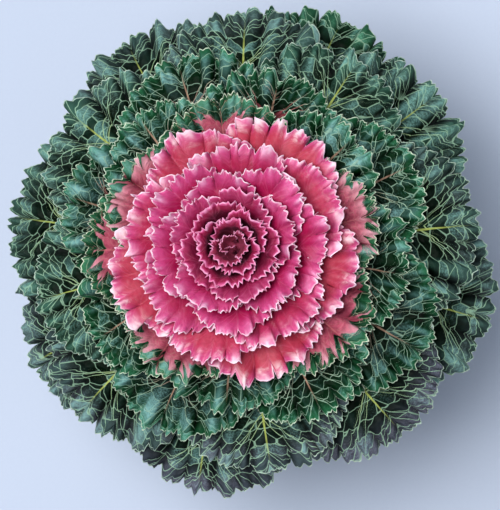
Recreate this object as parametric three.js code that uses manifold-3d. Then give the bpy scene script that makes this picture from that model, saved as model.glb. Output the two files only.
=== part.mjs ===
// Ornamental kale in a plain nursery pot: a flat rosette of fringed leaves, green outside and rose
// inside, on a short stem. Millimetres, +Z up. The origin is the middle of the pot's underside.
// Every leaf is its own solid, placed round the stem by the golden angle; the small leaves of the
// heart are fused to the growing tip that they stand on.

import * as THREE from "three";
import { mergeVertices } from "three/addons/utils/BufferGeometryUtils.js";
import Module from "manifold-3d";

const wasm = await Module();
wasm.setup();

// ---- Driving dimensions ----
const GAP = 0.3; // clearance between two solids that rest on each other
const GOLDEN_ANGLE = THREE.MathUtils.degToRad(137.508);
const FIRST_AZIMUTH = THREE.MathUtils.degToRad(69);

const POT = { height: 128, baseRadius: 56, topRadius: 75, rimRadius: 80, rimHeight: 13, wall: 1.6 };
const DRAIN = { count: 6, radius: 5, ring: 40 };
const ROUND_SEGMENTS = 36; // sides of the pot and of the soil in it
const SOIL_TOP = 114;
const ROOT = { depth: 54, radius: 10 };

// The dome that the leaf tips lie on, with its sunk heart.
const DOME = { top: 248, fall: 307, dip: 11, dipRadius: 13 };
const LEAVES = 68; // from the outermost, 0, to the innermost
const SEPARATE_LEAVES = 54; // the leaves after these are the heart
// What changes evenly from the first leaf to the last: the tip's place on the dome, the slope of the
// foot, and the foot's thickness and half width.
const OUTERMOST = { ring: 174, rise: 20, footThick: 4, footHalf: 6.2 };
const INNERMOST = { ring: 5, rise: 42, footThick: 1.6, footHalf: 3 };
// What changes with the tip's place: the stalk's share of the leaf, the blade's breadth, the ruffle's height.
const TIGHT = { stalk: 0.2, broad: 0.9, wave: 2.2 };
const OPEN = { stalk: 0.3, broad: 0.8, wave: 3.6 };
const SKIRT = { bulge: 13, middle: 9, width: 8 }; // how far the leaves near number 9 reach past the dome

const FIRST_NODE = 138; // height of the lowest leaf on the stem
const NODE_STEP = 1.35; // rise from one leaf to the next
const HEART_STEP = 0.8; // the same in the heart
const STEM = [
  // height, radius
  [FIRST_NODE - 2, 13],
  [179, 8.5],
  [210, 5.5],
  [226, 2.5],
];
const STEM_TOP = 211.6;
const HEART_NODE = STEM_TOP + 2; // height of the heart's lowest leaf
const HEART_SINK = 1.2; // how deep the feet of the small leaves stand in the growing tip

const BLADE = { thickness: 1, fan: THREE.MathUtils.degToRad(88), shoulder: THREE.MathUtils.degToRad(80) };
const RUFFLE = { waves: 36, turn: 0.15 };
const TOOTH = { even: 0.035, uneven: 0.05 }; // of the blade's length
const RIB = { halfWidth: 5, fade: 1.3 };

// Where one kind of leaf gives way to the next, by the place of its tip on the dome.
const KINDS = [
  { name: "outer_leaf", from: 137, colour: 0x3c5547 },
  { name: "green_leaf", from: 106, colour: 0x3f6a52 },
  { name: "blushed_leaf", from: 91, colour: 0x7d6a62 },
  { name: "rose_leaf", from: 0, colour: 0xc4487a },
];

const { lerp, clamp, smoothstep } = THREE.MathUtils;

/** A repeatable number from 0 to 1 for draw `draw` of leaf `leaf`. */
function chance(leaf, draw) {
  const wave = Math.sin(leaf * 127.1 + draw * 311.7 + 7.3) * 43758.5453;
  return wave - Math.floor(wave);
}

/** Reads a table of [place, value] rows, straight between the rows. */
function readTable(table, place) {
  const last = table.length - 1;
  if (place <= table[0][0]) return table[0][1];
  for (let i = 1; i <= last; i++)
    if (place <= table[i][0]) {
      const share = (place - table[i - 1][0]) / (table[i][0] - table[i - 1][0]);
      return lerp(table[i - 1][1], table[i][1], share);
    }
  return table[last][1];
}

/** Height of the dome at a distance from the axis. */
function domeHeight(radius) {
  return DOME.top - radius ** 2 / DOME.fall - DOME.dip * Math.exp(-((radius / DOME.dipRadius) ** 2));
}

/** The sizes of leaf `k`, and the curve of its midrib in the plane through the axis. */
function leafPlan(k) {
  const share = k / (LEAVES - 1);
  const between = (size) => lerp(OUTERMOST[size], INNERMOST[size], share);
  const ring = between("ring");
  const open = smoothstep(ring, 60, 130);
  const inHeart = k >= SEPARATE_LEAVES;
  const node = inHeart ? HEART_NODE + HEART_STEP * (k - SEPARATE_LEAVES) : FIRST_NODE + NODE_STEP * k;
  const rise = THREE.MathUtils.degToRad(between("rise"));
  const tilt = THREE.MathUtils.degToRad(105 * Math.exp(-ring / 45) - 0.2 * ring);
  const footThick = between("footThick");
  const clear = inHeart ? -HEART_SINK : GAP + 0.1 + Math.sin(rise) * footThick * 0.5;
  const base = new THREE.Vector2(readTable(STEM, node) + clear, node);
  const reach = ring + SKIRT.bulge * Math.exp(-(((k - SKIRT.middle) / SKIRT.width) ** 2));
  const tip = new THREE.Vector2(reach, domeHeight(ring));
  const chord = base.distanceTo(tip);
  const handle = (point, angle, length) =>
    new THREE.Vector2(point.x + length * Math.cos(angle), point.y + length * Math.sin(angle));
  const midrib = new THREE.CubicBezierCurve(
    base,
    handle(base, rise, chord * 0.42),
    handle(tip, tilt, -chord * 0.4),
    tip,
  );
  const length = midrib.getLength();
  return {
    k,
    ring,
    midrib,
    length,
    footThick,
    footHalf: between("footHalf"),
    azimuth: FIRST_AZIMUTH + k * GOLDEN_ANGLE + THREE.MathUtils.degToRad(5) * (chance(k, 1) - 0.5),
    stalk: length * lerp(TIGHT.stalk, OPEN.stalk, open),
    broad: lerp(TIGHT.broad, OPEN.broad, open),
    wave: lerp(TIGHT.wave, OPEN.wave, smoothstep(ring, 20, 120)),
  };
}

/** The point that lies x across and y along the leaf, lifted off its middle surface by `lift`. */
function onLeaf(leaf, x, y, lift) {
  const place = (along) => {
    const share = clamp(along / leaf.length, 0, 1);
    const point = leaf.midrib.getPointAt(share);
    const way = leaf.midrib.getTangentAt(share);
    return { point: point.addScaledVector(way, along - share * leaf.length), way };
  };
  // The leaf wraps round the axis as paper wraps a cone that touches it along the midrib.
  const rib = place(y);
  const flat = Math.max(rib.way.x, 0.22);
  const cone = rib.point.x / flat;
  const { point, way } = place(y + Math.hypot(cone, x) - cone);
  const azimuth = leaf.azimuth + Math.atan2(x, cone) / flat;
  const radius = point.x - way.y * lift;
  return new THREE.Vector3(radius * Math.cos(azimuth), radius * Math.sin(azimuth), point.y + way.x * lift);
}

/** The azimuth of the point that lies x across and y along the leaf. */
function azimuthOn(leaf, x, y) {
  const p = onLeaf(leaf, x, y, 0);
  return Math.atan2(p.y, p.x);
}

/** The flat leaf's point at `turn` from -1 to 1 round the blade's fan, and `out` from 0 at its foot to 1. */
function bladePoint(leaf, turn, out, tooth = 0) {
  const angle = turn * BLADE.fan;
  const spread = ((leaf.length - leaf.stalk) * out * (1 + tooth)) / (1 + (angle / BLADE.shoulder) ** 4);
  return {
    x: turn * leaf.footHalf * 0.7 + leaf.broad * spread * Math.sin(angle),
    y: leaf.stalk + spread * Math.cos(angle),
  };
}

/**
 * The rows of points that make a leaf, from its foot to its margin. Each has its points across the leaf
 * with their lift and half thickness.
 */
function leafRows(leaf, marginSides) {
  const footSides = Math.max(2, marginSides / 8);
  const foot = [];
  for (let i = 0; i <= footSides; i++) {
    const turn = (2 * i) / footSides - 1;
    const half = leaf.footThick * (0.5 - 0.12 * turn ** 2);
    foot.push({ x: turn * leaf.footHalf, y: 0, lift: 0, half, rib: 0 });
  }
  const rings = [
    { out: 0, sides: footSides },
    { out: 0.4, sides: Math.max(footSides, marginSides / 4) },
    { out: 0.72, sides: marginSides / 2 },
    { out: 1, sides: marginSides },
  ];
  return [foot, ...rings.map(({ out, sides }) => bladeRow(leaf, out, sides))];
}

/** One row of points across the blade. The margin is toothed, and ruffled but for its flanks. */
function bladeRow(leaf, out, sides) {
  const row = [];
  for (let i = 0; i <= sides; i++) {
    const turn = (2 * i) / sides - 1;
    const atMargin = out === 1;
    const tooth = TOOTH.even * (i % 2 ? 1 : -1) + TOOTH.uneven * (chance(leaf.k, 20 + i) - 0.5);
    const { x, y } = bladePoint(leaf, turn, out, atMargin ? tooth : 0);
    const wave = Math.sin(RUFFLE.waves * azimuthOn(leaf, x, y) + RUFFLE.turn * leaf.k);
    const lift = atMargin ? leaf.wave * wave * (1 - turn ** 2) : 0;
    const bulk = (leaf.footThick - BLADE.thickness) * (1 - out) ** RIB.fade;
    row.push({ x, y, lift, half: BLADE.thickness / 2, rib: bulk * Math.exp(-((x / RIB.halfWidth) ** 2)) });
  }
  return row;
}

/** Triangles between two neighbouring rows, where the outer row has as many sides or twice as many. */
function rowTriangles(inner, outer, innerStart, outerStart) {
  const triangles = [];
  const sides = inner.length - 1;
  const ratio = (outer.length - 1) / sides;
  for (let i = 0; i < sides; i++) {
    const a = innerStart + i;
    const c = outerStart + i * ratio;
    if (ratio === 1) triangles.push([a, c, c + 1], [a, c + 1, a + 1]);
    else triangles.push([a, c, c + 1], [a, c + 1, a + 1], [a + 1, c + 1, c + 2]);
  }
  return triangles;
}

/** The closed solid of a leaf: the same triangles on both faces, and a wall round its edge. */
function leafGeometry(leaf, marginSides) {
  const rows = leafRows(leaf, marginSides);
  const starts = [];
  const points = [];
  for (const row of rows) {
    starts.push(points.length);
    points.push(...row);
  }
  const top = points.map((p) => onLeaf(leaf, p.x, p.y, p.lift + p.half));
  const under = points.map((p) => onLeaf(leaf, p.x, p.y, p.lift - p.half - p.rib));
  const count = points.length;
  const index = [];
  for (let r = 1; r < rows.length; r++)
    for (const [a, b, c] of rowTriangles(rows[r - 1], rows[r], starts[r - 1], starts[r]))
      index.push(a, b, c, count + a, count + c, count + b);
  const lastRow = rows.length - 1;
  const rim = [
    ...rows[0].map((_, i) => starts[0] + rows[0].length - 1 - i),
    ...starts.slice(1, lastRow),
    ...rows[lastRow].map((_, i) => starts[lastRow] + i),
    ...starts.slice(1, lastRow).map((s, i) => s + rows[i + 1].length - 1).reverse(),
  ];
  rim.forEach((a, i) => {
    const b = rim[(i + 1) % rim.length];
    index.push(a, count + a, b, b, count + a, count + b);
  });
  const geometry = new THREE.BufferGeometry().setFromPoints([...top, ...under]);
  geometry.setIndex(index);
  return geometry;
}

/** A geometry as a manifold-3d solid. */
function toSolid(geometry) {
  const bare = geometry.clone();
  bare.deleteAttribute("normal");
  bare.deleteAttribute("uv");
  const merged = mergeVertices(bare, 1e-4);
  return new wasm.Manifold(new wasm.Mesh({
    numProp: 3,
    vertProperties: merged.attributes.position.array,
    triVerts: new Uint32Array(merged.index.array),
  }));
}

/** A manifold-3d solid as a geometry. */
function toGeometry(solid) {
  const { vertProperties, triVerts } = solid.getMesh();
  const geometry = new THREE.BufferGeometry();
  geometry.setAttribute("position", new THREE.BufferAttribute(vertProperties, 3));
  geometry.setIndex(new THREE.BufferAttribute(triVerts, 1));
  return geometry;
}

/** A LatheGeometry round +Z from [radius, height] pairs that run up the outside. */
function turned(profile, segments) {
  const points = profile.map(([radius, height]) => new THREE.Vector2(radius, height));
  return new THREE.LatheGeometry(points, segments).rotateX(Math.PI / 2);
}

function material(colour, roughness) {
  return new THREE.MeshStandardMaterial({ color: colour, roughness, metalness: 0 });
}

function named(name, geometry, look) {
  geometry.computeVertexNormals();
  const mesh = new THREE.Mesh(geometry, look);
  mesh.name = name;
  return mesh;
}

/** The pot: a tapered wall with a rolled band at the rim and drain holes in its floor. */
function makePot() {
  const { height, baseRadius, topRadius, rimRadius, rimHeight, wall } = POT;
  const band = height - rimHeight;
  const inner = topRadius - wall;
  const shell = toSolid(turned([
    [0, 0],
    [baseRadius, 0],
    [baseRadius + 1, 1.5],
    [topRadius, band],
    [rimRadius - 1, band],
    [rimRadius, band + 1.5],
    [rimRadius, height - 1],
    [rimRadius - 1, height],
    [inner + 1, height],
    [inner, height - 3],
    [baseRadius - wall + 0.6, 2 * wall],
    [baseRadius - 2 * wall, wall],
    [0, wall],
  ], ROUND_SEGMENTS));
  let pot = shell;
  for (let i = 0; i < DRAIN.count; i++) {
    const angle = (i / DRAIN.count) * 2 * Math.PI;
    const drill = new THREE.CylinderGeometry(DRAIN.radius, DRAIN.radius, 4 * wall, 12)
      .rotateX(Math.PI / 2)
      .translate(DRAIN.ring * Math.cos(angle), DRAIN.ring * Math.sin(angle), 0);
    pot = pot.subtract(toSolid(drill));
  }
  return named("pot", toGeometry(pot), material(0x9a5a3c, 0.6));
}

/** The soil: it fills the pot with a crumbly top, and has a plain hole for the root. */
function makeSoil() {
  const { height, baseRadius, topRadius, wall } = POT;
  const floor = wall + GAP;
  const foot = baseRadius - 2 * wall - GAP;
  const bowl = (z) => {
    const share = (z - 2 * wall) / (height - 3 - 2 * wall);
    return lerp(baseRadius - wall + 0.6, topRadius - wall, share) - GAP;
  };
  const hole = ROOT.radius + 0.6;
  const geometry = turned([
    [0, floor],
    [foot, floor],
    [bowl(2 * wall + GAP), 2 * wall + GAP],
    [bowl(SOIL_TOP), SOIL_TOP],
    [60, SOIL_TOP + 1],
    [44, SOIL_TOP + 2],
    [28, SOIL_TOP + 3],
    [hole, SOIL_TOP + 3],
    [hole, SOIL_TOP - ROOT.depth - 2],
    [0, SOIL_TOP - ROOT.depth - 2],
  ], ROUND_SEGMENTS);
  const at = geometry.attributes.position;
  for (let i = 0; i < at.count; i++) {
    const radius = Math.hypot(at.getX(i), at.getY(i));
    if (at.getZ(i) < SOIL_TOP || radius < hole + 1 || radius > 61) continue;
    const turn = Math.atan2(at.getY(i), at.getX(i)) / (2 * Math.PI) + 1;
    const spot = Math.round(turn * ROUND_SEGMENTS) % ROUND_SEGMENTS;
    at.setZ(i, at.getZ(i) + 3 * (chance(spot, Math.round(radius)) - 0.4));
  }
  return named("soil", geometry, material(0x3a2a20, 1));
}

/** The stem with its root: bare and ringed by leaf scars below, narrowing through the leaves. */
function makeStem() {
  const scars = [];
  for (let z = SOIL_TOP + 8; z < FIRST_NODE - 8; z += 6)
    scars.push([ROOT.radius + 1.4, z], [ROOT.radius + 2.2, z + 2], [ROOT.radius + 1.6, z + 3]);
  const profile = [
    [0, SOIL_TOP - ROOT.depth],
    [2, SOIL_TOP - ROOT.depth + 1],
    [ROOT.radius - 3, SOIL_TOP - 30],
    [ROOT.radius, SOIL_TOP - 8],
    [ROOT.radius, SOIL_TOP + 4],
    ...scars,
    ...STEM.filter(([z]) => z < STEM_TOP).map(([z, radius]) => [radius, z]),
    [readTable(STEM, STEM_TOP), STEM_TOP],
    [0, STEM_TOP],
  ];
  return named("stem", turned(profile, 16), material(0x9aa07a, 0.7));
}

/** The heart: the growing tip and the small leaves rolled round it, fused in one solid. */
function makeHeart() {
  const foot = STEM_TOP + GAP;
  let heart = toSolid(turned([
    [0, foot],
    [4.6, foot],
    [5, foot + 2],
    [3.6, foot + 9],
    [1.6, foot + 15],
    [0, foot + 16],
  ], 12));
  for (let k = SEPARATE_LEAVES; k < LEAVES; k++) heart = heart.add(toSolid(leafGeometry(leafPlan(k), 8)));
  return named("heart", toGeometry(heart), material(0x9c2450, 0.55));
}

/** The large leaves, each a mesh named by its kind and its number in that kind from the outside in. */
function makeLeaves() {
  const counts = new Map();
  return Array.from({ length: SEPARATE_LEAVES }, (_, k) => {
    const leaf = leafPlan(k);
    const kind = KINDS.find(({ from }) => leaf.ring >= from);
    const number = (counts.get(kind.name) ?? 0) + 1;
    counts.set(kind.name, number);
    const sides = kind.name === "outer_leaf" ? 32 : 24;
    const name = `${kind.name}_${String(number).padStart(2, "0")}`;
    return named(name, leafGeometry(leaf, sides), material(kind.colour, 0.5));
  });
}

const kale = new THREE.Group();
kale.add(makePot(), makeSoil(), makeStem(), ...makeLeaves(), makeHeart());

export default kale;
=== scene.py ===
"""An ornamental kale in a nursery pot: fine leaves, soil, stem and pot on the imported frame.

Every leaf is one sheet, modelled once as a flat blank. A copy of the blank is bent to the leaf's place
by the same rule that the frame's solids follow, ruffled, toothed and laid on the leaves under it.
Lengths are millimetres until they reach a mesh, which is in metres.
"""

from __future__ import annotations

import logging
import math
from dataclasses import dataclass, field
from enum import Enum
from typing import Any, Callable

import bmesh
import bpy
import numpy as np
from mathutils import Matrix, Vector, noise
from mathutils.bvhtree import BVHTree

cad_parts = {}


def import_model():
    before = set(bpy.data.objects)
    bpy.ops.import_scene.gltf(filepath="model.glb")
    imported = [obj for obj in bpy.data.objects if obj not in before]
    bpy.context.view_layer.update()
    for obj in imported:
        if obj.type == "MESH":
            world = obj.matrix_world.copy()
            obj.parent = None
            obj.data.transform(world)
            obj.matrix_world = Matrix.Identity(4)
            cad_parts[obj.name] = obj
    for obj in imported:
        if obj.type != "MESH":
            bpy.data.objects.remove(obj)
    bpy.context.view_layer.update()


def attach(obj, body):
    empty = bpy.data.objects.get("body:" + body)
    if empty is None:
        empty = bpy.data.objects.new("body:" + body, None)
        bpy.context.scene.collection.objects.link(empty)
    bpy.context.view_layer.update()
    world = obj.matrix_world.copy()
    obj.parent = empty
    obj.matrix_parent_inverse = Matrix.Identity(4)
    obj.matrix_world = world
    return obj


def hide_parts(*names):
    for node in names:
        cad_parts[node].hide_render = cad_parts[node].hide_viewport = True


LOG = logging.getLogger("kale")
MM = 0.001
BODY = "root"
ROUND = 6.28  # about a full turn, for angles that are drawn at random
Array = np.ndarray
Colour = tuple[float, float, float]


# ---------------------------------------------------------------- small helpers


def chance(leaf: int, draw: int) -> float:
    """A repeatable number from 0 to 1: the far digits of a sine, which are as good as random.

    Args:
        leaf: The leaf's number, or any other whole number.
        draw: Which of its draws.

    Returns:
        The same number for the same leaf and draw, each time.
    """
    wave = math.sin(leaf * 127.1 + draw * 311.7 + 7.3) * 43758.5453
    return wave - math.floor(wave)


def lerp(a: float, b: float, share: Any) -> Any:
    """The value that lies `share` of the way from a to b."""
    return a + (b - a) * share


def smoothstep(value: Any, low: float, high: float) -> Any:
    """A soft ramp from 0 at low to 1 at high."""
    t = np.clip((value - low) / (high - low), 0.0, 1.0)
    return t * t * (3 - 2 * t)


def beyond(out: Array, start: float, power: float) -> Array:
    """A rise from 0 at a start to 1 where out is 1, the later the higher its power."""
    return np.clip((out - start) / (1 - start), 0, 1) ** power


def linear(red: int, green: int, blue: int) -> Colour:
    """A colour given as screen values from 0 to 255, as the linear light that shaders use."""
    parts = [c / 255 for c in (red, green, blue)]
    return tuple(p / 12.92 if p <= 0.04045 else ((p + 0.055) / 1.055) ** 2.4 for p in parts)


def make_active(obj: bpy.types.Object | None) -> None:
    """Selects one object alone and makes it the active one, or leaves nothing selected."""
    for other in bpy.context.selected_objects:
        other.select_set(False)
    if obj:
        obj.select_set(True)
        bpy.context.view_layer.objects.active = obj


def shade_smooth(obj: bpy.types.Object) -> None:
    """Shades the object smooth all over."""
    make_active(obj)
    bpy.ops.object.shade_smooth()


def add_object(name: str, data: bpy.types.ID) -> bpy.types.Object:
    """Puts a mesh, a light or a camera in the scene under that name."""
    obj = bpy.data.objects.new(name, data)
    bpy.context.scene.collection.objects.link(obj)
    return obj


def apply_modifier(obj: bpy.types.Object, kind: str, **settings: Any) -> None:
    """Adds a modifier and applies it.

    Args:
        obj: The object to change.
        kind: The modifier's type, such as "SOLIDIFY".
        **settings: Its properties by name.
    """
    make_active(obj)
    modifier = obj.modifiers.new(kind.title(), kind)
    for name, value in settings.items():
        setattr(modifier, name, value)
    bpy.ops.object.modifier_apply(modifier=modifier.name)


def read_points(mesh: bpy.types.Mesh) -> Array:
    """The mesh's vertices as rows of x, y, z."""
    flat = np.empty(len(mesh.vertices) * 3, np.float32)
    mesh.vertices.foreach_get("co", flat)
    return flat.reshape(-1, 3).astype(float)


def write_points(mesh: bpy.types.Mesh, points: Array) -> None:
    """Moves the mesh's vertices to rows of x, y, z in millimetres."""
    mesh.vertices.foreach_set("co", (points * MM).astype(np.float32).ravel())
    mesh.update()


def write_numbers(mesh: bpy.types.Mesh, name: str, values: Array) -> None:
    """Keeps one number for each vertex under a name that materials read."""
    attribute = mesh.attributes.new(name, "FLOAT", "POINT")
    attribute.data.foreach_set("value", np.asarray(values, np.float32))


def write_vectors(mesh: bpy.types.Mesh, name: str, values: Array) -> None:
    """Keeps one vector for each vertex under a name that materials read."""
    attribute = mesh.attributes.new(name, "FLOAT_VECTOR", "POINT")
    attribute.data.foreach_set("vector", np.asarray(values, np.float32).ravel())


# ---------------------------------------------------------------- shader maths


def operator(operation: str, reflected: bool = False) -> Callable[[Value, Any], Value]:
    """Makes one of a Value's operators.

    Args:
        operation: The operation of the Math node that it adds.
        reflected: Whether the Value stands on the right.

    Returns:
        The operator's method.
    """

    def method(value: Value, other: Any) -> Value:
        """The result of the Math node."""
        return value.math(operation, *((other, value) if reflected else (value, other)))

    return method


class Value:
    """A number that varies over a surface. Python's operators add the Math nodes."""

    def __init__(self, shader: Shader, socket: bpy.types.NodeSocket) -> None:
        """Keeps the socket that the number comes from."""
        self.shader = shader
        self.socket = socket

    def math(self, operation: str, *terms: Any) -> Value:
        """The result of a Math node on the terms, in their order."""
        node = self.shader.node("ShaderNodeMath", {"operation": operation}, dict(enumerate(terms)))
        return Value(self.shader, node.outputs[0])

    __add__ = __radd__ = operator("ADD")
    __mul__ = __rmul__ = operator("MULTIPLY")
    __sub__ = operator("SUBTRACT")
    __rsub__ = operator("SUBTRACT", reflected=True)
    __truediv__ = operator("DIVIDE")
    __rtruediv__ = operator("DIVIDE", reflected=True)
    __pow__ = operator("POWER")
    __rpow__ = operator("POWER", reflected=True)
    least = operator("MINIMUM")
    most = operator("MAXIMUM")

    def __abs__(self) -> Value:
        """The size of self."""
        return self.math("ABSOLUTE", self)

    def fract(self) -> Value:
        """What is left of self over the whole number below it."""
        return self.math("FRACT", self)

    def ramp(self, low: float, high: float) -> Value:
        """A soft ramp from 0 where self is low to 1 where it is high. low may be the larger one."""
        ends = (low, high, 0.0, 1.0) if low <= high else (high, low, 1.0, 0.0)
        inputs = dict(zip(("From Min", "From Max", "To Min", "To Max"), ends))
        settings = {"interpolation_type": "SMOOTHSTEP"}
        node = self.shader.node("ShaderNodeMapRange", settings, {"Value": self, **inputs})
        return Value(self.shader, node.outputs["Result"])


class Shader:
    """A material that is built node by node."""

    def __init__(self, name: str) -> None:
        """Starts an empty material of that name."""
        self.material = bpy.data.materials.new(name)
        self.material.use_nodes = True
        self.tree = self.material.node_tree
        self.tree.nodes.clear()

    def node(self, kind: str, settings: dict[str, Any], inputs: dict[Any, Any]) -> bpy.types.Node:
        """Adds any node.

        Args:
            kind: The node's type.
            settings: Its properties, which are set before its sockets.
            inputs: Its sockets by name or number, each a value, a Value or another node's socket.

        Returns:
            The new node.
        """
        node = self.tree.nodes.new(kind)
        for name, setting in settings.items():
            setattr(node, name, setting)
        for name, given in inputs.items():
            socket = given.socket if isinstance(given, Value) else given
            if isinstance(socket, bpy.types.NodeSocket):
                self.tree.links.new(socket, node.inputs[name])
            else:
                node.inputs[name].default_value = self._as_wide(socket, node.inputs[name])
        return node

    @staticmethod
    def _as_wide(value: Any, socket: bpy.types.NodeSocket) -> Any:
        """A colour of three parts gets the fourth one that a colour socket wants."""
        if socket.type == "RGBA" and len(value) == 3:
            return (*value, 1.0)
        return value

    def number(self, name: str) -> Value:
        """The number that the mesh keeps under that name."""
        node = self.node("ShaderNodeAttribute", {"attribute_name": name}, {})
        return Value(self, node.outputs["Fac"])

    def vector(self, name: str) -> bpy.types.NodeSocket:
        """The vector that the mesh keeps under that name."""
        return self.node("ShaderNodeAttribute", {"attribute_name": name}, {}).outputs["Vector"]

    def place(self) -> bpy.types.NodeSocket:
        """The point in the object's own frame, in metres."""
        return self.node("ShaderNodeTexCoord", {}, {}).outputs["Object"]

    def height(self) -> Value:
        """The point's height over the floor, in millimetres."""
        parts = self.node("ShaderNodeSeparateXYZ", {}, {0: self.place()})
        return Value(self, parts.outputs[2]) / MM

    def combine(self, *parts: Any) -> bpy.types.NodeSocket:
        """A vector of three numbers."""
        return self.node("ShaderNodeCombineXYZ", {}, dict(enumerate(parts))).outputs[0]

    def noise(self, where: Any, scale: float, detail: float = 3.0, rough: float = 0.55) -> Value:
        """A cloudy number from 0 to 1."""
        inputs = {"Vector": where, "Scale": scale, "Detail": detail, "Roughness": rough}
        return Value(self, self.node("ShaderNodeTexNoise", {}, inputs).outputs["Fac"])

    def dice(self, dimensions: str, inputs: dict[str, Any]) -> Value:
        """A random number from 0 to 1 for each input."""
        node = self.node("ShaderNodeTexWhiteNoise", {"noise_dimensions": dimensions}, inputs)
        return Value(self, node.outputs["Value"])

    def cells(self, where: Any, uneven: float, feature: str) -> bpy.types.Node:
        """A pattern of cells that are about one unit wide."""
        inputs = {"Vector": where, "Scale": 1.0, "Randomness": uneven}
        return self.node("ShaderNodeTexVoronoi", {"feature": feature}, inputs)

    def mix(self, factor: Any, first: Any, second: Any, blend: str = "MIX") -> bpy.types.NodeSocket:
        """A colour between two others."""
        settings = {"data_type": "RGBA", "blend_type": blend, "clamp_factor": True}
        return self.node("ShaderNodeMix", settings, {0: factor, 6: first, 7: second}).outputs[2]

    def bump(self, height: Value, depth_mm: float) -> bpy.types.NodeSocket:
        """The normal of a surface with that relief."""
        inputs = {"Height": height, "Distance": depth_mm * MM, "Strength": 1.0}
        return self.node("ShaderNodeBump", {}, inputs).outputs["Normal"]

    def surface(self, inputs: dict[str, Any]) -> bpy.types.Material:
        """Ends the material in a Principled shader with these sockets."""
        shader = self.node("ShaderNodeBsdfPrincipled", {}, inputs)
        output = self.node("ShaderNodeOutputMaterial", {}, {})
        self.tree.links.new(shader.outputs["BSDF"], output.inputs["Surface"])
        return self.material


# ---------------------------------------------------------------- how the head grows


class Kind(Enum):
    """A kind of leaf: the least place of its tip on the dome."""

    OUTER = 137.0
    GREEN = 106.0
    BLUSHED = 91.0
    ROSE = 0.0

    @property
    def node(self) -> str:
        """The start of the names of the frame's nodes of this kind."""
        return f"{self.name.lower()}_leaf"


@dataclass(frozen=True)
class Growth:
    """The rule that places the leaves, in millimetres and degrees.

    A pair of sizes holds that of the outermost leaf and that of the innermost, or of an upright leaf and of
    a flat one.
    """

    leaves: int = 68
    separate: int = 54  # the leaves that aren't part of the heart
    golden: float = 137.508  # from one leaf to the next, round the stem
    first: float = 69.0
    jitter: float = 5.0  # the arc about its place round the stem in which a leaf may grow
    ring: tuple[float, float] = (174.0, 5.0)  # how far out the leaf tips are
    rise: tuple[float, float] = (20.0, 42.0)  # how steeply the leaves leave the stem
    foot_thick: tuple[float, float] = (4.0, 1.6)
    foot_half: tuple[float, float] = (6.2, 3.0)  # half a foot's width
    stalk: tuple[float, float] = (0.2, 0.3)  # the stalk's share of a leaf, upright and flat
    broad: tuple[float, float] = (0.9, 0.8)  # width by length of the blade, upright and flat
    flat_rings: tuple[float, float] = (60.0, 130.0)  # where leaves turn from upright to flat
    first_node: float = 138.0  # the height on the stem where the first leaf grows
    node_step: float = 1.35
    heart_node: float = 213.6
    heart_step: float = 0.8
    dome_top: float = 248.0
    dome_fall: float = 307.0
    dip: float = 11.0
    dip_radius: float = 13.0
    bulge: float = 13.0  # how much further out the tips round one leaf reach
    bulge_middle: float = 9.0
    bulge_width: float = 8.0
    stem: tuple[tuple[float, float], ...] = ((136.0, 13.0), (179.0, 8.5), (210.0, 5.5), (226.0, 2.5))
    foot_gap: float = 0.4  # between the stem and a leaf's foot
    foot_sunk: float = 1.2  # how deep the feet of the heart's leaves are in the stem

    def dome(self, radius: float) -> float:
        """The height of the leaf tips at a distance from the axis."""
        sunk = self.dip * math.exp(-((radius / self.dip_radius) ** 2))
        return self.dome_top - radius**2 / self.dome_fall - sunk

    def seat(self, k: int, node: float) -> float:
        """How far from the axis leaf k's foot stands, at that height of the stem."""
        stem = float(np.interp(node, *zip(*self.stem)))
        if k >= self.separate:
            return stem - self.foot_sunk
        share = k / (self.leaves - 1)
        rise = math.radians(lerp(*self.rise, share))
        return stem + self.foot_gap + math.sin(rise) * lerp(*self.foot_thick, share) * 0.5


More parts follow.
